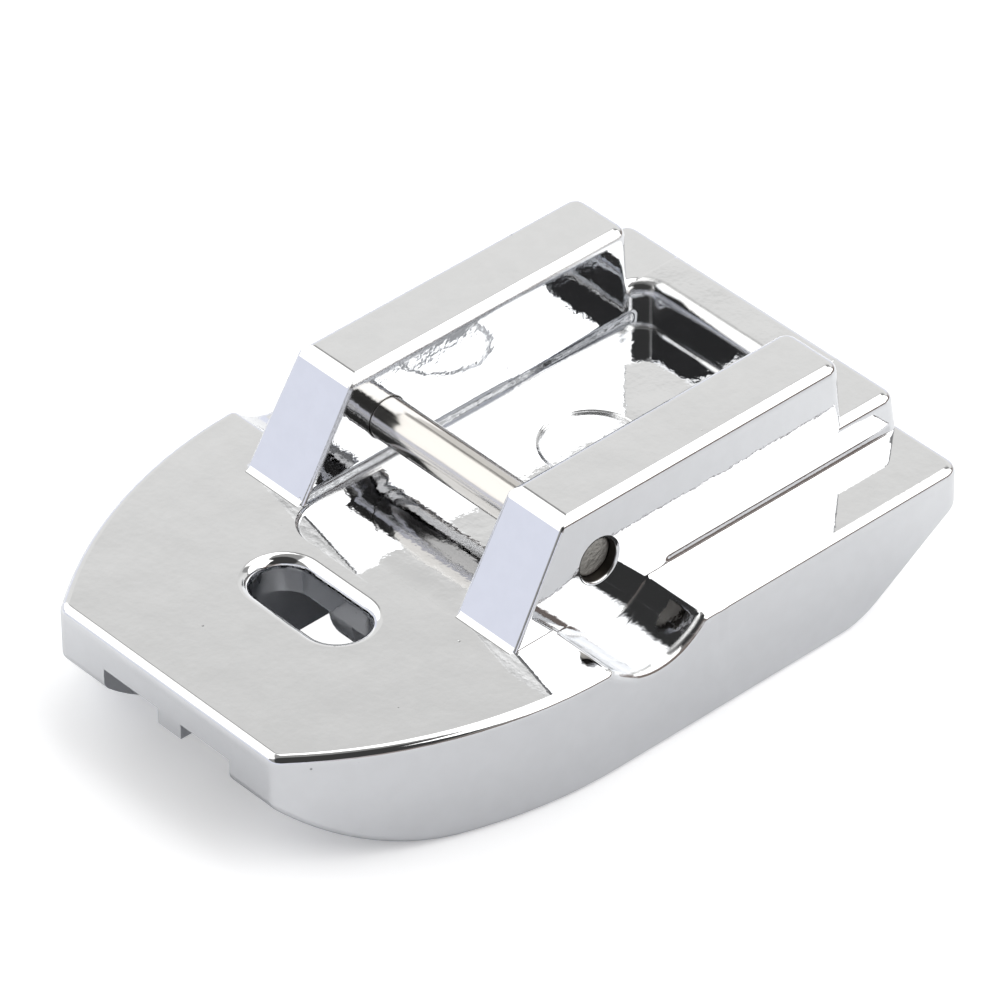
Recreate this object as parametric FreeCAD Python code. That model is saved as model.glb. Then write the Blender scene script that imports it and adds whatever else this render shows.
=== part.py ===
import FreeCAD, Part
import math
import os

V = FreeCAD.Vector

# Millimetres. X runs across the foot, Y from the toe to the heel, Z up from the sole.
# The lengths named "from the toe" are measured back from the front face, and
# rail_rear, bridge_rear and pocket_rear forward from the heel.

# whole casting
foot_length = 25.75
foot_width = 18.2
body_height = 4.2
toe_width = 10.2
flare_length = 10.8
heel_corner_radius = 0.6

# sole, seen from the side
toe_face_height = 2.0
toe_sweep_radius = 7.2
toe_lip_radius = 0.5
heel_sweep_length = 4.4
heel_face_height = 1.5
heel_knee_radius = 3.0
heel_lip_radius = 0.6

# roundings of the plated edges
plate_edge_radius = 0.3
sole_edge_radius = 0.3
rail_edge_radius = 0.35
ear_edge_radius = 0.12
ear_brow_radius = 0.6
flank_fillet_radius = 0.13
ear_fillet_radius = 0.27
pocket_fillet_radius = 0.15

# rails and the bridge behind them
rail_gap = 7.3
rail_span = 12.8
rail_height = 3.85
rail_tip = 8.87
rail_lean = 31.0
rail_rear = 2.65
rail_rear_draft = 3.0
rail_corner_radius = 0.5
rail_side_draft = 2.5
bridge_height = 1.5
bridge_rear = 0.28
bridge_rear_draft = 6.5
bridge_lip_radius = 0.45
root_depth = 0.5

# pocket between the rails
pocket_depth = 0.18
pocket_front = 7.85
pocket_front_radius = 1.3
pocket_rear = 2.15
pocket_rear_radius = 0.8
ejector_diameter = 3.3
ejector_from_toe = 17.95
ejector_depth = 0.07

# cross pin and its seats
pin_diameter = 1.5
pin_length = 12.0
pin_from_toe = 12.5
pin_above_plate = 1.7
pin_end_radius = 0.1
seat_mouth_radius = 0.12

# round reliefs beside the ears, on the pin axis
relief_radius = 2.6

# needle slot
slot_length = 4.7
slot_width = 2.1
slot_from_toe = 6.0
slot_rim_radius = 0.38

# coil tunnels under the plate and the keel between them
tunnel_span = 6.0
tunnel_roof = 1.28
keel_width = 1.1
keel_front_depth = 0.75
keel_setback = 0.12
keel_nose_radius = 2.2
keel_clearance = 0.15

# derived places
toe_y = -foot_length / 2
heel_y = foot_length / 2
plate_z = body_height
rail_z = plate_z + rail_height
bridge_z = plate_z + bridge_height
root_z = plate_z - root_depth
pocket_z = plate_z - pocket_depth
roof_z = plate_z - tunnel_roof
pin_y = toe_y + pin_from_toe
pin_z = plate_z + pin_above_plate
half_width = foot_width / 2
cut_margin = 1.0
overlap_depth = 0.2
tolerance = 0.02


def face_of(edges):
    return Part.Face(Part.Wire(Part.__sortEdges__(edges)))


def polygon_face(points):
    return Part.Face(Part.makePolygon(points + [points[0]]))


def box(x0, x1, y0, y1, z0, z1):
    return Part.makeBox(x1 - x0, y1 - y0, z1 - z0, V(x0, y0, z0))


def picked(shape, test):
    return [e for e in shape.Edges if test(e)]


def middle(edge):
    return edge.valueAt((edge.FirstParameter + edge.LastParameter) / 2)


def rounded(shape, radius, test):
    return shape.makeFillet(radius, picked(shape, test))


def is_vertical(edge):
    b = edge.BoundBox
    return b.ZLength > tolerance and b.XLength < tolerance and b.YLength < tolerance


def flare_arc(side):
    half_toe = toe_width / 2
    inset = half_width - half_toe
    radius = (inset ** 2 + flare_length ** 2) / (2 * inset)
    half_angle = math.asin(flare_length / radius) / 2
    middle_x = half_width - radius + radius * math.cos(half_angle)
    middle_y = toe_y + flare_length - radius * math.sin(half_angle)
    start = V(side * half_toe, toe_y, 0)
    end = V(side * half_width, toe_y + flare_length, 0)
    return Part.Arc(start, V(side * middle_x, middle_y, 0), end).toShape()


def plan_face():
    left, right = -half_width, half_width
    flare_end = toe_y + flare_length
    edges = [
        Part.makeLine(V(-toe_width / 2, toe_y, 0), V(toe_width / 2, toe_y, 0)),
        flare_arc(1),
        Part.makeLine(V(right, flare_end, 0), V(right, heel_y, 0)),
        Part.makeLine(V(right, heel_y, 0), V(left, heel_y, 0)),
        Part.makeLine(V(left, heel_y, 0), V(left, flare_end, 0)),
        flare_arc(-1),
    ]
    return face_of(edges)


def toe_sweep():
    # The sole turns up to the toe on one arc, tangent to the flat.
    rise = body_height - toe_face_height
    angle = math.acos(1 - rise / toe_sweep_radius)
    centre = V(0, toe_y + toe_sweep_radius * math.sin(angle), toe_sweep_radius)

    def on_arc(a):
        return centre + V(0, -toe_sweep_radius * math.sin(a), -toe_sweep_radius * math.cos(a))

    return Part.Arc(on_arc(angle), on_arc(angle / 2), on_arc(0)).toShape()


def side_profile():
    sweep = toe_sweep()
    front = V(0, toe_y, body_height - toe_face_height)
    flat_start = V(0, max(v.Point.y for v in sweep.Vertexes), 0)
    knee = V(0, heel_y - heel_sweep_length, 0)
    lip = V(0, heel_y, body_height - heel_face_height)
    edges = [
        sweep,
        Part.makeLine(flat_start, knee),
        Part.makeLine(knee, lip),
        Part.makeLine(lip, V(0, heel_y, body_height)),
        Part.makeLine(V(0, heel_y, body_height), V(0, toe_y, body_height)),
        Part.makeLine(V(0, toe_y, body_height), front),
    ]
    return face_of(edges)


def across(face, width):
    solid = face.extrude(V(width, 0, 0))
    solid.translate(V(-width / 2, 0, 0))
    return solid


def runs_across_at(y, z):
    def test(edge):
        b = edge.BoundBox
        level = b.YLength < tolerance and b.ZLength < tolerance
        return level and abs(b.YMin - y) < tolerance and abs(b.ZMin - z) < tolerance
    return test


def side_solid():
    wedge = across(side_profile(), foot_width + 2 * cut_margin)
    wedge = rounded(wedge, heel_knee_radius, runs_across_at(heel_y - heel_sweep_length, 0))
    wedge = rounded(wedge, heel_lip_radius, runs_across_at(heel_y, body_height - heel_face_height))
    return rounded(wedge, toe_lip_radius, runs_across_at(toe_y, body_height - toe_face_height))


def body_blank():
    prism = plan_face().extrude(V(0, 0, body_height))
    heel = heel_y - cut_margin
    prism = rounded(prism, heel_corner_radius, lambda e: is_vertical(e) and middle(e).y > heel)
    toe = toe_y + cut_margin
    prism = rounded(prism, toe_lip_radius, lambda e: is_vertical(e) and middle(e).y < toe)
    return prism.common(side_solid())


def on_sole_rim(edge):
    # The sole's outline down both sides, from the toe's lip to the heel's.
    b = edge.BoundBox
    low = b.ZMin < plate_z - toe_face_height and b.ZMax < plate_z - tolerance
    one_side = b.XMin * b.XMax > 0
    return low and one_side and max(abs(b.XMin), abs(b.XMax)) > toe_width / 2


def on_plate_rim(edge):
    # The plate's outline, the dips that the round reliefs make in it, and the reliefs' own edges.
    b = edge.BoundBox
    beside_pin = b.YMin > pin_y - relief_radius and b.YMax < pin_y + relief_radius
    return b.ZMin > plate_z - tolerance or (beside_pin and b.XLength < foot_width / 2)


def body():
    blank = body_blank().cut(cross_cylinder(relief_radius, foot_width + 2 * cut_margin))
    blank = rounded(blank, sole_edge_radius, on_sole_rim)
    return rounded(blank, plate_edge_radius, on_plate_rim)


def flank_x(z):
    return rail_span / 2 - (z - plate_z) * math.tan(math.radians(rail_side_draft))


def flanked(inner, z0, z1):
    # A bar along the foot, from the inner plane out to the drafted flank of the right side.
    y = toe_y - cut_margin
    section = polygon_face([
        V(inner, y, z0), V(flank_x(z0), y, z0), V(flank_x(z1), y, z1), V(inner, y, z1)])
    return section.extrude(V(0, foot_length + 2 * cut_margin, 0))


def mirrored(shape):
    return shape.mirror(V(0, 0, 0), V(1, 0, 0))


def leaning(z):
    # How far back from the toe the ears' front plane stands at a height.
    return toe_y + rail_tip + (z - plate_z) * math.tan(math.radians(rail_lean))


def rail_bar():
    # The right rail without its front end: long edges and rear end rounded.
    drop = math.tan(math.radians(rail_rear_draft))
    rear = heel_y - rail_rear
    side = polygon_face([
        V(0, toe_y, root_z), V(0, toe_y, rail_z), V(0, rear, rail_z),
        V(0, rear + (rail_z - root_z) * drop, root_z)])
    solid = across(side, foot_width).common(flanked(rail_gap / 2, root_z, rail_z))

    def is_rear_corner(edge):
        return edge.BoundBox.ZLength > rail_height and middle(edge).y > rear - tolerance

    def is_crown(edge):
        b = edge.BoundBox
        return b.ZMin > rail_z - tolerance and b.YMax > toe_y + tolerance

    solid = rounded(solid, rail_corner_radius, is_rear_corner)
    return rounded(solid, rail_edge_radius, is_crown)


def rail_front():
    # The right ear's leaning front: a full brow above and a fine edge down both sides.
    brow = leaning(rail_z)
    side = polygon_face([
        V(0, leaning(root_z), root_z), V(0, brow, rail_z), V(0, heel_y, rail_z), V(0, heel_y, root_z)])
    solid = rounded(across(side, foot_width), ear_brow_radius, runs_across_at(brow, rail_z))
    solid = solid.common(flanked(rail_gap / 2, root_z, rail_z))
    thickness = (rail_span - rail_gap) / 2

    def is_side(edge):
        b = edge.BoundBox
        along = b.XLength < thickness / 2
        return along and b.YMin < heel_y - tolerance and b.ZMax > root_z + tolerance

    return rounded(solid, ear_edge_radius, is_side)


def right_rail():
    return rail_bar().common(rail_front())


def pocket_end():
    # Everything between the rails and ahead of the bridge, with the pocket's rear corners.
    half = rail_gap / 2
    rear = heel_y - pocket_rear
    hollow = box(-half, half, toe_y, rear, root_z - cut_margin, rail_z)
    near_rear = rear - cut_margin
    return rounded(hollow, pocket_rear_radius, lambda e: is_vertical(e) and middle(e).y > near_rear)


def bridge():
    # Runs across behind the pocket, with an arm forward under each rail's rear end.
    back = math.tan(math.radians(bridge_rear_draft))
    front = heel_y - rail_rear - cut_margin
    rear = heel_y - bridge_rear
    foot = rear + (bridge_z - root_z) * back
    side = polygon_face([
        V(0, front, root_z), V(0, front, bridge_z), V(0, rear, bridge_z), V(0, foot, root_z)])
    right = flanked(0, root_z, bridge_z)
    solid = across(side, foot_width).common(right.fuse(mirrored(right)).removeSplitter())
    solid = solid.cut(pocket_end())

    def is_corner(edge):
        return edge.BoundBox.ZLength > root_depth and middle(edge).y > rear - tolerance

    def is_top(edge):
        b = edge.BoundBox
        return b.ZMin > bridge_z - tolerance and b.YMax > front + tolerance

    def is_lip(edge):
        b = edge.BoundBox
        beside = max(abs(b.XMin), abs(b.XMax)) < rail_gap / 2 + tolerance
        return is_top(edge) and beside and b.YMax < heel_y - pocket_rear + tolerance

    solid = rounded(solid, rail_corner_radius, is_corner)
    solid = rounded(solid, rail_edge_radius, lambda e: is_top(e) and not is_lip(e))
    return rounded(solid, bridge_lip_radius, is_lip)


def pocket_strip():
    # Metal that the pocket's tool leaves along the foot of the right rail's inner wall.
    half = rail_gap / 2
    r = pocket_fillet_radius
    front = toe_y + rail_tip + ear_edge_radius
    rear = heel_y - rail_rear
    return box(half - r, half + overlap_depth, front, rear, pocket_z - overlap_depth, pocket_z + r)


def flank_fillet():
    # Concave fillet between the right flank and the shoulder, broken off at the round relief.
    r = flank_fillet_radius
    slope = math.radians(rail_side_draft)
    reach = r * math.tan(math.radians(90 - rail_side_draft) / 2)
    x = rail_span / 2
    up = V(x - reach * math.sin(slope), 0, plate_z + reach * math.cos(slope))
    out = V(x + reach, 0, plate_z)
    centre = V(x + reach, 0, plate_z + r)
    toward = (V(x, 0, plate_z) - centre).normalize()
    arc = Part.Arc(up, centre + toward * r, out).toShape()
    inside = V(x - overlap_depth, 0, plate_z - overlap_depth)
    edges = [
        arc,
        Part.makeLine(out, V(out.x, 0, inside.z)),
        Part.makeLine(V(out.x, 0, inside.z), inside),
        Part.makeLine(inside, V(inside.x, 0, up.z)),
        Part.makeLine(V(inside.x, 0, up.z), up),
    ]
    front = toe_y + rail_tip + ear_edge_radius
    strip = face_of(edges).extrude(V(0, heel_y - bridge_rear - rail_corner_radius - front, 0))
    strip.translate(V(0, front, 0))
    return strip.cut(cross_cylinder(relief_radius, foot_width))


def ear_fillet():
    # Concave fillet between the leaning front face of the right ear and the plate.
    r = ear_fillet_radius
    tilt = math.radians(rail_lean)
    reach = r * math.tan(math.radians(90 - rail_lean) / 2)
    y = toe_y + rail_tip
    up = V(0, y + reach * math.sin(tilt), plate_z + reach * math.cos(tilt))
    out = V(0, y - reach, plate_z)
    centre = V(0, y - reach, plate_z + r)
    toward = (V(0, y, plate_z) - centre).normalize()
    arc = Part.Arc(up, centre + toward * r, out).toShape()
    inside = V(0, up.y + overlap_depth, plate_z - overlap_depth)
    edges = [
        arc,
        Part.makeLine(out, V(0, out.y, inside.z)),
        Part.makeLine(V(0, out.y, inside.z), inside),
        Part.makeLine(inside, V(0, inside.y, up.z)),
        Part.makeLine(V(0, inside.y, up.z), up),
    ]
    inner = rail_gap / 2 + ear_edge_radius
    outer = rail_span / 2 - ear_edge_radius
    strip = face_of(edges).extrude(V(outer - inner, 0, 0))
    strip.translate(V(inner, 0, 0))
    return strip


def block():
    whole = bridge()
    right = [right_rail(), flank_fillet(), ear_fillet(), pocket_strip()]
    for piece in right:
        whole = whole.fuse(piece).fuse(mirrored(piece))
    return whole.removeSplitter()


def pocket():
    half = rail_gap / 2
    front = toe_y + pocket_front
    rear = heel_y - pocket_rear
    tool = box(-half, half, front, rear, pocket_z, rail_z + cut_margin)
    near_rear = rear - cut_margin
    tool = rounded(tool, pocket_rear_radius, lambda e: is_vertical(e) and middle(e).y > near_rear)
    near_front = front + cut_margin
    tool = rounded(tool, pocket_front_radius, lambda e: is_vertical(e) and middle(e).y < near_front)
    return rounded(tool, pocket_fillet_radius, lambda e: e.BoundBox.ZMax < pocket_z + tolerance)


def cross_cylinder(radius, length):
    return Part.makeCylinder(radius, length, V(-length / 2, pin_y, pin_z), V(1, 0, 0))


def core():
    # Solid metal under the rails, between the two round reliefs.
    low = pin_z - relief_radius - overlap_depth
    bar = flanked(0, low, plate_z)
    reach = relief_radius + plate_edge_radius
    zone = box(-foot_width, foot_width, pin_y - reach, pin_y + reach, low, plate_z)
    return bar.fuse(mirrored(bar)).removeSplitter().common(zone)


def needle_slot():
    y = toe_y + slot_from_toe
    radius = slot_width / 2
    half = slot_length / 2 - radius
    height = plate_z + 2 * cut_margin
    solid = box(-half, half, y - radius, y + radius, -cut_margin, height - cut_margin)
    for x in (-half, half):
        solid = solid.fuse(Part.makeCylinder(radius, height, V(x, y, -cut_margin)))
    return solid.removeSplitter()


def keel_nose():
    # Side view of the keel behind the needle slot: its nose swells down from the roof.
    radius = keel_nose_radius
    start = toe_y + slot_from_toe + slot_width / 2 + keel_clearance
    rear = heel_y + cut_margin
    top = roof_z + cut_margin
    low = roof_z - radius
    corner = V(0, start + radius * (1 - math.sqrt(0.5)), roof_z - radius * math.sqrt(0.5))
    edges = [
        Part.Arc(V(0, start, roof_z), corner, V(0, start + radius, low)).toShape(),
        Part.makeLine(V(0, start + radius, low), V(0, rear, low)),
        Part.makeLine(V(0, rear, low), V(0, rear, top)),
        Part.makeLine(V(0, rear, top), V(0, start, top)),
        Part.makeLine(V(0, start, top), V(0, start, roof_z)),
    ]
    return across(face_of(edges), keel_width)


def keel_front():
    half = keel_width / 2
    front = toe_y + keel_setback
    rear = toe_y + slot_from_toe - slot_width / 2 - keel_clearance
    return box(-half, half, front, rear, roof_z - keel_front_depth, plate_z)


def tunnels():
    half = tunnel_span / 2
    hollow = box(-half, half, toe_y - cut_margin, heel_y + cut_margin, -cut_margin, roof_z)
    return hollow.cut(keel_nose()).cut(keel_front())


def pin_seats():
    return cross_cylinder(pin_diameter / 2, foot_width)


def is_seat_mouth(edge):
    b = edge.BoundBox
    round_edge = abs(b.ZLength - pin_diameter) < tolerance and abs(b.YLength - pin_diameter) < tolerance
    return round_edge and min(abs(b.XMin), abs(b.XMax)) > (rail_gap + rail_span) / 4


def is_slot_rim(edge):
    b = edge.BoundBox
    level = b.ZMin > plate_z - tolerance and b.ZMax < plate_z + tolerance
    inside = max(abs(b.XMin), abs(b.XMax)) < slot_length / 2 + tolerance
    along = abs(middle(edge).y - toe_y - slot_from_toe) < slot_width / 2 + tolerance
    return level and inside and along


def ejector_mark():
    y = toe_y + ejector_from_toe
    return Part.makeCylinder(ejector_diameter / 2, cut_margin, V(0, y, pocket_z - ejector_depth))


def foot_body():
    casting = body().fuse(core()).fuse(block()).removeSplitter()
    casting = casting.cut(pocket())
    casting = casting.cut(needle_slot())
    casting = rounded(casting, slot_rim_radius, is_slot_rim)
    casting = casting.cut(pin_seats())
    casting = rounded(casting, seat_mouth_radius, is_seat_mouth)
    casting = casting.cut(tunnels())
    return casting.cut(ejector_mark())


def cross_pin():
    pin = cross_cylinder(pin_diameter / 2, pin_length)
    return pin.makeFillet(pin_end_radius, picked(pin, lambda e: e.BoundBox.XLength < tolerance))


os.makedirs("parts", exist_ok=True)
foot_body().exportStep("parts/foot_body.step")
cross_pin().exportStep("parts/cross_pin.step")
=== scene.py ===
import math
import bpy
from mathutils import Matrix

bl_info = {
    "name": "Presser foot studio",
    "version": (1, 0, 0),
    "blender": (4, 5, 0),
    "location": "View3D > Sidebar > Presser foot",
    "description": "Finishes a plated presser foot and its cross pin in a plain studio",
    "category": "Object",
}

import bpy
from bpy.props import FloatProperty, FloatVectorProperty, PointerProperty
from bpy.types import Operator, Panel, PropertyGroup
from mathutils import Matrix, Vector

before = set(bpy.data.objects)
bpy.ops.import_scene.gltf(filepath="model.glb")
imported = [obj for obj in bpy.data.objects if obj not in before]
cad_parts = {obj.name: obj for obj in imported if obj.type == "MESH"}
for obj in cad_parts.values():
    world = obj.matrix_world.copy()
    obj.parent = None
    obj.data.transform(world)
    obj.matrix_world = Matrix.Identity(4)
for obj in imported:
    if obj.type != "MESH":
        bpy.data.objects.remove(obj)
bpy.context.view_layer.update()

MM = 0.001

# Coordinates that count in a distance from a line: one across the foot, one upright
ACROSS = (0.0, 1.0, 1.0)
UPRIGHT = (1.0, 1.0, 0.0)
PIN_AXIS = (0.0, -0.375 * MM, 5.9 * MM)
UNDER_SLOT = (-4.0 * MM, -4.5 * MM, 0.0)

# Soft steps on the casting, each from where it begins to where it ends
GAP_SIDE = (3.7 * MM, 3.8 * MM)
POCKET_FRONT = (-4.0 * MM, -3.0 * MM)
RELIEF_RIM = (2.65 * MM, 2.75 * MM)
PLATE_EDGE = (4.05 * MM, 4.15 * MM)
BORE_WALL = (0.76 * MM, 0.8 * MM)
BEHIND_RELIEF = (2.1 * MM, 2.6 * MM)
OUTER_FOOT = (4.22 * MM, 4.67 * MM)
INNER_FOOT = (4.06 * MM, 4.76 * MM)
UPRIGHT_WALL = (0.75, 0.98)

# Build-up at the walls' outer and inner foot, as shares of the wall lean
OUTER_SHARE = 0.78
INNER_SHARE = 1.4
RAIL_MIDDLE = 5.0 * MM

# The ejector mark's ring: width of its slope, and how far below its place it still counts
RING_SLOPE = 0.15 * MM
RING_REACH = 0.3 * MM

# Pits, in shares of their spacing, and how dark they are
PIT_CHOICE = (0.6, 1.0)
PIT_RADIUS = 0.045
PIT_EDGE = 0.02
PIT_TONE = 0.4

# Uneven tone and polishing marks of the plating
CLOUD_SIZE = 0.6 * MM
CLOUD_BAND = (0.35, 0.65)
CLOUD_TONES = (0.99, 1.01)
MARK_SIZE = 4.0 * MM
MARK_BAND = (0.45, 0.75)
BORE_BLUR = 0.45

# The pin: its cropped ends, then how its drawing marks run along it and blur it
END_EDGE = 0.03 * MM
END_BLUR = 0.5
TORN_SIZE = 0.16 * MM
TORN_DEPTH = 0.04 * MM
STREAK_STRETCH = 0.03
STREAK_BAND = (0.3, 0.7)
STREAK_BLUR = (-0.04, 0.06)

# The table: where less light falls on it, darkened by painted shade, and the edge of the painted
# white patch under the slot, which hides the shadow there
NEAR_SIDE = (53.0, 0.0)
NEAR_FALL = (-4.0 * MM, 14.0 * MM)
PAINTED_WHITE_EDGE = (3.0 * MM, 4.2 * MM)

# Softboxes: azimuth, elevation, width and height in degrees, and how soft the rim is
GREY_WALL = (-140.0, 20.0, 84.0, 48.0, 0.03)
ARCH_BOX = (176.0, 66.0, 60.0, 24.0, 0.04)
SIDE_BOX = (132.0, 38.0, 62.0, 50.0, 0.05)
LEFT_BOX = (-64.0, 41.0, 70.0, 52.0, 0.05)

# The grey wall's tone below and above a soft step, and the opening's place and edges in degrees
WALL_STEP = (0.595, 0.665)
WALL_SHARES = (1.1, 0.9)
OPENING_PLACE = (52.0, 42.0)
OPENING_EDGES = (44.0, 34.0)

# The horizon, with the skirting on one side of it
SKIRTING_SIDE = (125.0, 0.0)
SKIRTING_EDGE = (0.2, 0.75)
HORIZON_EDGE = (0.19, 0.25)
HORIZON_TINT = (0.93, 0.95, 1.06)
SKIRTING_TINT = (1.15, 0.95, 0.85)
TENT_TINT = (1.0, 0.985, 0.95)
WHITE = (1.0, 1.0, 1.0, 1.0)


class PlatingSettings(PropertyGroup):
    """The bright plating on the cast foot."""

    colour: FloatVectorProperty(
        name="Colour",
        description="Colour that the bare plating gives to what it reflects",
        subtype="COLOR",
        size=3,
        min=0.0,
        max=1.0,
        default=(0.66, 0.67, 0.69),
    )
    roughness: FloatProperty(
        name="Roughness",
        description="Blur of the reflections where the plating is cleanest",
        subtype="FACTOR",
        min=0.0,
        max=1.0,
        default=0.03,
    )
    haze: FloatProperty(
        name="Haze",
        description="Extra blur where fine polishing marks and fingerprints lie",
        subtype="FACTOR",
        min=0.0,
        max=1.0,
        default=0.06,
    )
    ripple_size: FloatProperty(
        name="Ripple size",
        description="Distance between the soft swells that the casting left under the plating",
        unit="LENGTH",
        default=2.3 * MM,
    )
    ripple_height: FloatProperty(
        name="Ripple height",
        description="Height of the soft swells",
        unit="LENGTH",
        default=0.012 * MM,
    )
    peel_size: FloatProperty(
        name="Peel size",
        description="Distance between the small bumps of the plating's orange peel",
        unit="LENGTH",
        default=0.26 * MM,
    )
    peel_height: FloatProperty(
        name="Peel height",
        description="Height of the small bumps",
        unit="LENGTH",
        default=0.0015 * MM,
    )
    pit_spacing: FloatProperty(
        name="Pit spacing",
        description="Typical distance between two pits",
        unit="LENGTH",
        default=1.2 * MM,
    )
    pit_depth: FloatProperty(
        name="Pit depth",
        description="Depth of the pits in the plating",
        unit="LENGTH",
        default=0.006 * MM,
    )
    corner_blend: FloatProperty(
        name="Corner blend",
        description="Radius over which the plating softens the pocket's edges and inner corners",
        unit="LENGTH",
        default=0.08 * MM,
    )
    wall_lean: FloatProperty(
        name="Wall lean",
        description="How far the plating builds up at the foot of the rails' walls",
        unit="LENGTH",
        default=0.135 * MM,
    )
    pocket_texture: FloatProperty(
        name="Pocket texture",
        description="How many times rougher the pocket and the reliefs are than the outside",
        min=1.0,
        default=3.0,
    )
    # Painted shade: the bores' almost black colour stands in for the shade inside the holes round
    # the pin
    bore_painted_shade: FloatVectorProperty(
        name="Bore colour",
        description="Dull colour of the bores round the pin",
        subtype="COLOR",
        size=3,
        min=0.0,
        max=1.0,
        default=(0.05, 0.045, 0.04),
    )
    ring_place: FloatVectorProperty(
        name="Ring place",
        description="Middle of the soft ring round the ejector mark",
        subtype="TRANSLATION",
        size=3,
        default=(0.0, 5.075 * MM, 4.0 * MM),
    )
    ring_radius: FloatProperty(
        name="Ring radius",
        description="Inner radius of the soft ring",
        unit="LENGTH",
        default=1.64 * MM,
    )
    ring_height: FloatProperty(
        name="Ring height",
        description="Height of the soft ring",
        unit="LENGTH",
        default=0.06 * MM,
    )


class PinSettings(PropertyGroup):
    """The bare steel cross pin."""

    colour: FloatVectorProperty(
        name="Colour",
        description="Colour of the drawn wire",
        subtype="COLOR",
        size=3,
        min=0.0,
        max=1.0,
        default=(0.55, 0.538, 0.525),
    )
    roughness: FloatProperty(
        name="Roughness",
        description="Blur of the pin's reflections",
        subtype="FACTOR",
        min=0.0,
        max=1.0,
        default=0.14,
    )
    end_colour: FloatVectorProperty(
        name="End colour",
        description="Colour of the cropped ends",
        subtype="COLOR",
        size=3,
        min=0.0,
        max=1.0,
        default=(0.36, 0.35, 0.33),
    )
    end_from_middle: FloatProperty(
        name="End from middle",
        description="Distance from the middle of the pin to where its cropped end starts",
        unit="LENGTH",
        default=5.9 * MM,
    )
    streak_width: FloatProperty(
        name="Streak width",
        description="Width of the drawing marks along the pin",
        unit="LENGTH",
        default=0.05 * MM,
    )
    streak_depth: FloatProperty(
        name="Streak depth",
        description="Depth of the drawing marks",
        unit="LENGTH",
        default=0.0008 * MM,
    )


class StudioSettings(PropertyGroup):
    """The table, the tent of soft light and the camera."""

    table_colour: FloatVectorProperty(
        name="Table colour",
        description="Colour of the table and the backdrop",
        subtype="COLOR",
        size=3,
        min=0.0,
        max=1.0,
        default=(0.94, 0.955, 0.985),
    )
    # Painted shade: the table's darker colour before the foot's right side, where less light falls
    near_shade_colour: FloatVectorProperty(
        name="Near colour",
        description="Colour of the table before the foot's right side, where less light falls",
        subtype="COLOR",
        size=3,
        min=0.0,
        max=1.0,
        default=(0.745, 0.755, 0.785),
    )
    # Painted light: the glow rises to 1 under the needle slot, a white patch over the body's shadow
    table_glow: FloatProperty(
        name="Table glow",
        description="Brightness added to the table for the camera alone, 1 under the needle slot",
        min=0.0,
        default=0.3,
    )
    table_size: FloatProperty(
        name="Table size",
        description="Length of the square table's side",
        unit="LENGTH",
        default=2.0,
    )
    back_light: FloatProperty(
        name="Back light",
        description="Brightness of the grey wall behind the foot",
        min=0.0,
        default=0.97,
    )
    side_light: FloatProperty(
        name="Side light",
        description="Brightness of the large softbox on the right",
        min=0.0,
        default=3.0,
    )
    arch_light: FloatProperty(
        name="Arch light",
        description="Brightness of the long softbox over the wall",
        min=0.0,
        default=2.6,
    )
    left_light: FloatProperty(
        name="Left light",
        description="Brightness of the softbox high on the left",
        min=0.0,
        default=1.9,
    )
    tent_light: FloatProperty(
        name="Tent light",
        description="Brightness of the cloth between the lights",
        min=0.0,
        default=0.4,
    )
    opening_light: FloatProperty(
        name="Opening light",
        description="Brightness of the dark opening on the camera's side",
        min=0.0,
        default=0.065,
    )
    horizon_light: FloatProperty(
        name="Horizon light",
        description="Brightness of the pale table's far end, seen low all round",
        min=0.0,
        default=1.12,
    )
    skirting_light: FloatProperty(
        name="Skirting light",
        description="Brightness of the dark gap under the softbox on the right",
        min=0.0,
        default=0.25,
    )
    azimuth: FloatProperty(
        name="Azimuth",
        description="Camera's place round the foot, from straight in front of the toe",
        subtype="ANGLE",
        default=math.radians(48.296),
    )
    elevation: FloatProperty(
        name="Elevation",
        description="Camera's height over the table, as an angle",
        subtype="ANGLE",
        default=math.radians(38.454),
    )
    roll: FloatProperty(
        name="Roll",
        description="Camera's tilt about its own axis",
        subtype="ANGLE",
        default=math.radians(-0.821),
    )
    distance: FloatProperty(
        name="Distance",
        description="Distance from the camera to the point that it looks at",
        unit="LENGTH",
        default=0.2558,
    )
    lens: FloatProperty(
        name="Lens",
        description="Focal length in millimetres on a 36 mm wide sensor",
        default=297.04,
    )
    aim: FloatVectorProperty(
        name="Aim",
        description="Point that the camera looks at",
        subtype="TRANSLATION",
        size=3,
        default=(0.004386, -0.002734, 0.008446),
    )


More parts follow.
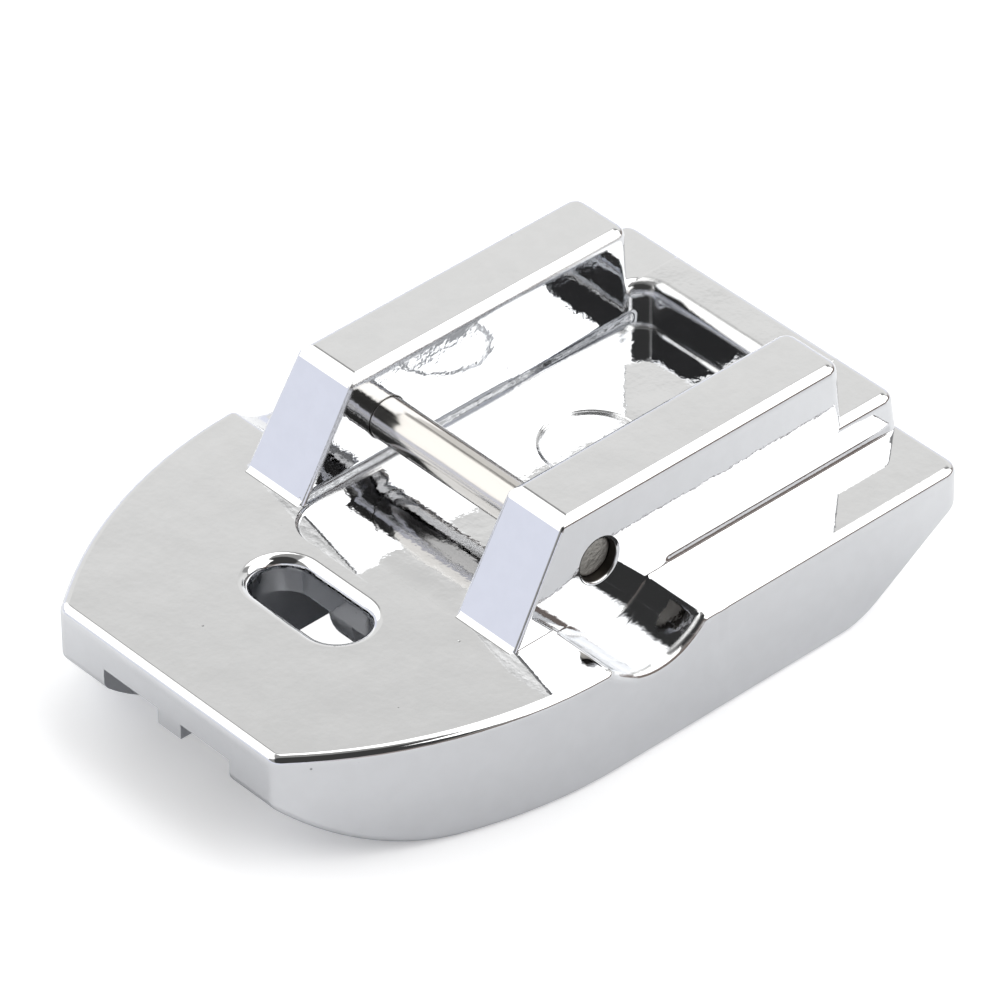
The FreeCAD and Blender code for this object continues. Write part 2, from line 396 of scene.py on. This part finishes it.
class Tree:
    """Adds shader nodes to one node tree, joined as they are made."""

    def __init__(self, tree):
        self.tree = tree
        tree.nodes.clear()

    def add(self, kind, inputs=None, **settings):
        node = self.tree.nodes.new(kind)
        for name, value in settings.items():
            setattr(node, name, value)
        for name, value in (inputs or {}).items():
            self.feed(node.inputs[name], value)
        return node

    def feed(self, socket, value):
        if isinstance(value, bpy.types.NodeSocket):
            self.tree.links.new(value, socket)
        else:
            socket.default_value = value

    def math(self, operation, a, b=0.0):
        return self.add("ShaderNodeMath", {0: a, 1: b}, operation=operation).outputs[0]

    def dot(self, a, b):
        node = self.add("ShaderNodeVectorMath", {0: a, 1: b}, operation="DOT_PRODUCT")
        return node.outputs["Value"]

    def scale(self, vector, factors):
        """Multiplies a vector by a triple."""
        node = self.add("ShaderNodeVectorMath", {0: vector, 1: factors}, operation="MULTIPLY")
        return node.outputs["Vector"]

    def distance(self, a, b):
        node = self.add("ShaderNodeVectorMath", {0: a, 1: b}, operation="DISTANCE")
        return node.outputs["Value"]

    def split(self, vector):
        return self.add("ShaderNodeSeparateXYZ", {0: vector}).outputs

    def ramp(self, value, low, high, start=0.0, end=1.0):
        """Soft step from start, where the value is low, to end, where it is high."""
        inputs = {"Value": value, "From Min": low, "From Max": high, "To Min": start, "To Max": end}
        node = self.add("ShaderNodeMapRange", inputs, interpolation_type="SMOOTHSTEP")
        return node.outputs[0]

    def mix(self, factor, a, b):
        """Mixes two numbers: a where the factor is 0, b where it is 1."""
        node = self.add("ShaderNodeMix", {"Factor": factor, "A": a, "B": b}, data_type="FLOAT")
        return node.outputs[0]

    def colours(self, factor, a, b):
        """Mixes two colours, each a socket or a plain triple."""
        pair = [c if isinstance(c, bpy.types.NodeSocket) else (*c, 1.0) for c in (a, b)]
        node = self.add("ShaderNodeMix", {0: factor, 6: pair[0], 7: pair[1]}, data_type="RGBA")
        return node.outputs[2]

    def noise(self, vector, size, detail=2.0, roughness=0.5):
        inputs = {"Vector": vector, "Scale": 1.0 / size, "Detail": detail, "Roughness": roughness}
        return self.add("ShaderNodeTexNoise", inputs).outputs[0]

    def bump(self, height, distance, normal=None):
        inputs = {"Height": height, "Distance": distance, "Strength": 1.0}
        if normal is not None:
            inputs["Normal"] = normal
        return self.add("ShaderNodeBump", inputs).outputs["Normal"]


def direction(azimuth, elevation):
    """Unit vector towards a place round the foot, given as the camera's place is."""
    a, e = math.radians(azimuth), math.radians(elevation)
    return Vector((math.sin(a) * math.cos(e), -math.cos(a) * math.cos(e), math.sin(e)))


def material(name):
    """A new material and its empty node tree."""
    made = bpy.data.materials.new(name)
    made.use_nodes = True
    return made, Tree(made.node_tree)


def from_line(tree, place, keep, point):
    """Distance from the surface to a line. The triple keep is 0 along the line's axis."""
    on_line = tuple(k * p for k, p in zip(keep, point))
    return tree.distance(tree.scale(place, keep), on_line)


def pocket_share(tree, place, values):
    """1 outside, up to the pocket texture in the pocket and the reliefs, which no wheel reaches."""
    x, y, z = tree.split(place)
    between = tree.ramp(tree.math("ABSOLUTE", x), *GAP_SIDE, 1.0, 0.0)
    pocket = tree.math("MULTIPLY", between, tree.ramp(y, *POCKET_FRONT))
    around = tree.ramp(from_line(tree, place, ACROSS, PIN_AXIS), *RELIEF_RIM, 1.0, 0.0)
    relief = tree.math("MULTIPLY", around, tree.ramp(z, *PLATE_EDGE, 1.0, 0.0))
    return tree.mix(tree.math("MAXIMUM", pocket, relief), 1.0, values.pocket_texture)


def wall_foot(tree, place):
    """Build-up of plating at the foot of the rails' upright walls, wider inside the pocket."""
    x, y, z = tree.split(place)
    outside = tree.ramp(z, *OUTER_FOOT, OUTER_SHARE, 0.0)
    outside = tree.math("MULTIPLY", outside, tree.ramp(y, *BEHIND_RELIEF))
    inside = tree.ramp(z, *INNER_FOOT, INNER_SHARE, 0.0)
    within = tree.math("LESS_THAN", tree.math("ABSOLUTE", x), RAIL_MIDDLE)
    height = tree.mix(within, outside, inside)
    normal = tree.add("ShaderNodeNewGeometry").outputs["Normal"]
    aside = tree.math("ABSOLUTE", tree.split(normal)["X"])
    return tree.math("MULTIPLY", height, tree.ramp(aside, *UPRIGHT_WALL))


def soft_ring(tree, place, values):
    """1 outside the ejector mark and 0 inside, with a sloping rim, and 0 under the plate."""
    away = from_line(tree, place, UPRIGHT, values.ring_place)
    rim = tree.ramp(away, values.ring_radius, values.ring_radius + RING_SLOPE)
    lowest = values.ring_place[2] - RING_REACH
    over = tree.math("GREATER_THAN", tree.split(place)["Z"], lowest)
    return tree.math("MULTIPLY", rim, over)


def pits(tree, place, values):
    """1 on the plating and 0 in its pits."""
    cells = tree.add("ShaderNodeTexVoronoi", {"Vector": place, "Scale": 1.0 / values.pit_spacing})
    spread = tree.add("ShaderNodeSeparateColor", {0: cells.outputs["Color"]}).outputs[0]
    radius = tree.ramp(spread, *PIT_CHOICE, 0.0, PIT_RADIUS)
    hollow = tree.math("SUBTRACT", cells.outputs["Distance"], radius)
    return tree.ramp(hollow, -PIT_EDGE, PIT_EDGE)


def plating_normal(tree, place, hollows, values):
    """Blended corners, then the wall's foot, ripple, orange peel, soft ring and pits on them."""
    share = pocket_share(tree, place, values)
    ripple = tree.math("MULTIPLY", tree.noise(place, values.ripple_size, detail=1.0), share)
    peel = tree.math("MULTIPLY", tree.noise(place, values.peel_size, detail=2.0), share)
    blend = tree.math("MULTIPLY", tree.math("SUBTRACT", share, 1.0), values.corner_blend)
    normal = tree.add("ShaderNodeBevel", {"Radius": blend}, samples=4).outputs[0]
    for height, distance in (
        (wall_foot(tree, place), values.wall_lean),
        (ripple, values.ripple_height),
        (peel, values.peel_height),
        (soft_ring(tree, place, values), values.ring_height),
        (hollows, values.pit_depth),
    ):
        normal = tree.bump(height, distance, normal)
    return normal


def plating_colour(tree, place, hollows, bore, values):
    """A slightly uneven tone, darker in the pits, and an almost black painted shade in the bores
    round the pin.
    """
    tone = tree.ramp(tree.noise(place, CLOUD_SIZE, detail=5.0), *CLOUD_BAND, *CLOUD_TONES)
    tone = tree.math("MULTIPLY", tone, tree.mix(hollows, PIT_TONE, 1.0))
    cloud = tree.add("ShaderNodeVectorMath", {0: tuple(values.colour), 3: tone}, operation="SCALE")
    return tree.colours(bore, cloud.outputs["Vector"], tuple(values.bore_painted_shade))


def plating_material(values):
    """Bright plating on the casting."""
    made, tree = material("bright_plating")
    place = tree.add("ShaderNodeTexCoord").outputs["Object"]
    hollows = pits(tree, place, values)
    marks = tree.noise(place, MARK_SIZE, detail=6.0, roughness=0.7)
    blur = tree.ramp(marks, *MARK_BAND, values.roughness, values.roughness + values.haze)
    # The bores are rougher, and their almost black colour is painted shade inside the holes round
    # the pin
    bore = tree.ramp(from_line(tree, place, ACROSS, PIN_AXIS), *BORE_WALL, 1.0, 0.0)
    shader = tree.add("ShaderNodeBsdfPrincipled", {
        "Base Color": plating_colour(tree, place, hollows, bore, values),
        "Metallic": 1.0,
        "Roughness": tree.mix(bore, blur, BORE_BLUR),
        "Normal": plating_normal(tree, place, hollows, values),
    })
    tree.add("ShaderNodeOutputMaterial", {"Surface": shader.outputs[0]})
    return made


def pin_material(values):
    """Drawn steel with marks along the pin and rough, cropped ends."""
    made, tree = material("drawn_steel")
    place = tree.add("ShaderNodeTexCoord").outputs["Object"]
    aside = tree.math("ABSOLUTE", tree.split(place)["X"])
    end = tree.ramp(aside, values.end_from_middle - END_EDGE, values.end_from_middle)
    along = tree.scale(place, (STREAK_STRETCH, 1.0, 1.0))
    streaks = tree.noise(along, values.streak_width, detail=3.0)
    torn = tree.math("MULTIPLY", tree.noise(place, TORN_SIZE, detail=3.0), end)
    normal = tree.bump(streaks, values.streak_depth)
    normal = tree.bump(torn, TORN_DEPTH, normal)
    blurs = [values.roughness + more for more in STREAK_BLUR]
    blur = tree.ramp(streaks, *STREAK_BAND, *blurs)
    shader = tree.add("ShaderNodeBsdfPrincipled", {
        "Base Color": tree.colours(end, tuple(values.colour), tuple(values.end_colour)),
        "Metallic": 1.0,
        "Roughness": tree.mix(end, blur, END_BLUR),
        "Normal": normal,
    })
    tree.add("ShaderNodeOutputMaterial", {"Surface": shader.outputs[0]})
    return made


def dress(node, finish):
    """Gives a CAD node its finish in place of the plain one."""
    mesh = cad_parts[node].data
    mesh.materials.clear()
    mesh.materials.append(finish)


def table_material(values):
    """Pale cloth that glows for the camera alone, so it looks white and the shadow stays soft, with
    painted shade before the foot's right side and painted light under the needle slot.
    """
    made, tree = material("pale_table")
    place = tree.add("ShaderNodeTexCoord").outputs["Object"]
    # Painted shade: the table darkens before the foot's right side
    shaded_side = tree.ramp(tree.dot(place, tuple(direction(*NEAR_SIDE))), *NEAR_FALL)
    colour = tree.colours(shaded_side, tuple(values.table_colour), tuple(values.near_shade_colour))
    cloth = tree.add("ShaderNodeBsdfDiffuse", {"Color": colour})
    # Painted light: under the needle slot the glow rises to full white and hides the body's shadow
    away = from_line(tree, place, UPRIGHT, UNDER_SLOT)
    level = tree.ramp(away, *PAINTED_WHITE_EDGE, 1.0, values.table_glow)
    seen = tree.add("ShaderNodeLightPath").outputs["Is Camera Ray"]
    glow = tree.add("ShaderNodeEmission", {"Strength": tree.math("MULTIPLY", seen, level)})
    both = tree.add("ShaderNodeAddShader", {0: cloth.outputs[0], 1: glow.outputs[0]})
    tree.add("ShaderNodeOutputMaterial", {"Surface": both.outputs[0]})
    return made


def add_table(values):
    """The table that the foot stands on."""
    half = values.table_size / 2
    corners = [(-half, -half, 0), (half, -half, 0), (half, half, 0), (-half, half, 0)]
    mesh = bpy.data.meshes.new("table")
    mesh.from_pydata(corners, [], [(0, 1, 2, 3)])
    mesh.materials.append(table_material(values))
    table = bpy.data.objects.new("table", mesh)
    bpy.context.scene.collection.objects.link(table)


def softbox(tree, ray, azimuth, elevation, width, height, rim):
    """1 where a ray meets a rectangular softbox and 0 elsewhere, with a soft rim."""
    facing = direction(azimuth, elevation)
    across = facing.cross(Vector((0, 0, 1))).normalized()
    upward = across.cross(facing)
    ahead = tree.dot(ray, tuple(facing))
    inside = tree.math("GREATER_THAN", ahead, 0.0)
    for axis, angle in ((across, width), (upward, height)):
        reach = math.tan(math.radians(angle / 2))
        offset = tree.math("DIVIDE", tree.dot(ray, tuple(axis)), ahead)
        edge = tree.ramp(tree.math("ABSOLUTE", offset), reach - rim, reach + rim, 1.0, 0.0)
        inside = tree.math("MULTIPLY", inside, edge)
    return inside


def tent_level(tree, ray, values):
    """Brightness of the light tent towards a ray: cloth, opening, grey wall and softboxes."""
    shades = [share * values.back_light for share in WALL_SHARES]
    wall = tree.ramp(tree.split(ray)["Z"], *WALL_STEP, *shades)
    edges = [math.cos(math.radians(angle)) for angle in OPENING_EDGES]
    toward_opening = tree.dot(ray, tuple(direction(*OPENING_PLACE)))
    level = tree.ramp(toward_opening, *edges, values.tent_light, values.opening_light)
    for box, light in (
        (GREY_WALL, wall),
        (ARCH_BOX, values.arch_light),
        (SIDE_BOX, values.side_light),
        (LEFT_BOX, values.left_light),
    ):
        level = tree.mix(softbox(tree, ray, *box), level, light)
    return level


def add_sky(values):
    """The tent of light round the foot, seen in the plating and left white behind it."""
    world = bpy.data.worlds.new("light_tent")
    world.use_nodes = True
    bpy.context.scene.world = world
    tree = Tree(world.node_tree)
    ray = tree.add("ShaderNodeTexCoord").outputs["Generated"]
    aside = tree.ramp(tree.dot(ray, tuple(direction(*SKIRTING_SIDE))), *SKIRTING_EDGE)
    horizon = tree.mix(aside, values.horizon_light, values.skirting_light)
    over = tree.ramp(tree.split(ray)["Z"], *HORIZON_EDGE)
    level = tree.mix(over, horizon, tent_level(tree, ray, values))
    low = tree.colours(aside, HORIZON_TINT, SKIRTING_TINT)
    tint = tree.colours(over, low, TENT_TINT)
    sky = tree.add("ShaderNodeBackground", {"Color": tint, "Strength": level})
    white = tree.add("ShaderNodeBackground", {"Color": WHITE, "Strength": 1.0})
    seen = tree.add("ShaderNodeLightPath").outputs["Is Camera Ray"]
    shader = tree.add("ShaderNodeMixShader", {0: seen, 1: sky.outputs[0], 2: white.outputs[0]})
    tree.add("ShaderNodeOutputWorld", {"Surface": shader.outputs[0]})


def add_camera(values):
    """The camera, at the place and angle that the settings give."""
    back = direction(math.degrees(values.azimuth), math.degrees(values.elevation))
    right = Vector((math.cos(values.azimuth), math.sin(values.azimuth), 0.0))
    upright = Matrix((right, back.cross(right), back)).transposed().to_4x4()
    data = bpy.data.cameras.new("camera")
    data.lens = values.lens
    data.sensor_width = 36.0
    data.clip_start = 0.01
    camera = bpy.data.objects.new("camera", data)
    place = Matrix.Translation(Vector(values.aim) + back * values.distance)
    camera.matrix_world = place @ upright @ Matrix.Rotation(values.roll, 4, "Z")
    bpy.context.scene.collection.objects.link(camera)
    bpy.context.scene.camera = camera


class PRESSERFOOT_OT_casting(Operator):
    """Finishes the cast body with bright plating"""

    bl_idname = "presser_foot.casting"
    bl_label = "Plate the casting"

    def execute(self, context):
        dress("foot_body", plating_material(context.scene.presser_foot_plating))
        return {"FINISHED"}


class PRESSERFOOT_OT_pin(Operator):
    """Finishes the cross pin as drawn steel"""

    bl_idname = "presser_foot.pin"
    bl_label = "Finish the cross pin"

    def execute(self, context):
        dress("cross_pin", pin_material(context.scene.presser_foot_pin))
        return {"FINISHED"}


class PRESSERFOOT_OT_stage(Operator):
    """Sets the table, the tent of light and the camera"""

    bl_idname = "presser_foot.stage"
    bl_label = "Set the stage"

    def execute(self, context):
        values = context.scene.presser_foot_studio
        context.scene.view_settings.view_transform = "Standard"
        add_table(values)
        add_sky(values)
        add_camera(values)
        return {"FINISHED"}


class PRESSERFOOT_PT_sidebar(Panel):
    """Lists the settings and the steps"""

    bl_idname = "PRESSERFOOT_PT_sidebar"
    bl_label = "Presser foot"
    bl_space_type = "VIEW_3D"
    bl_region_type = "UI"
    bl_category = "Presser foot"

    def draw(self, context):
        layout = self.layout
        for group, step in STEPS:
            box = layout.box()
            values = getattr(context.scene, group)
            for name in values.__annotations__:
                box.prop(values, name)
            box.operator(step)


STEPS = (
    ("presser_foot_plating", "presser_foot.casting"),
    ("presser_foot_pin", "presser_foot.pin"),
    ("presser_foot_studio", "presser_foot.stage"),
)
SETTINGS = {
    "presser_foot_plating": PlatingSettings,
    "presser_foot_pin": PinSettings,
    "presser_foot_studio": StudioSettings,
}
CLASSES = (
    PlatingSettings,
    PinSettings,
    StudioSettings,
    PRESSERFOOT_OT_casting,
    PRESSERFOOT_OT_pin,
    PRESSERFOOT_OT_stage,
    PRESSERFOOT_PT_sidebar,
)


def register():
    for cls in CLASSES:
        bpy.utils.register_class(cls)
    for name, group in SETTINGS.items():
        setattr(bpy.types.Scene, name, PointerProperty(type=group))


def unregister():
    for name in SETTINGS:
        delattr(bpy.types.Scene, name)
    for cls in reversed(CLASSES):
        bpy.utils.unregister_class(cls)


def main():
    register()
    bpy.ops.presser_foot.casting()
    bpy.ops.presser_foot.pin()
    bpy.ops.presser_foot.stage()


if __name__ == "__main__":
    main()
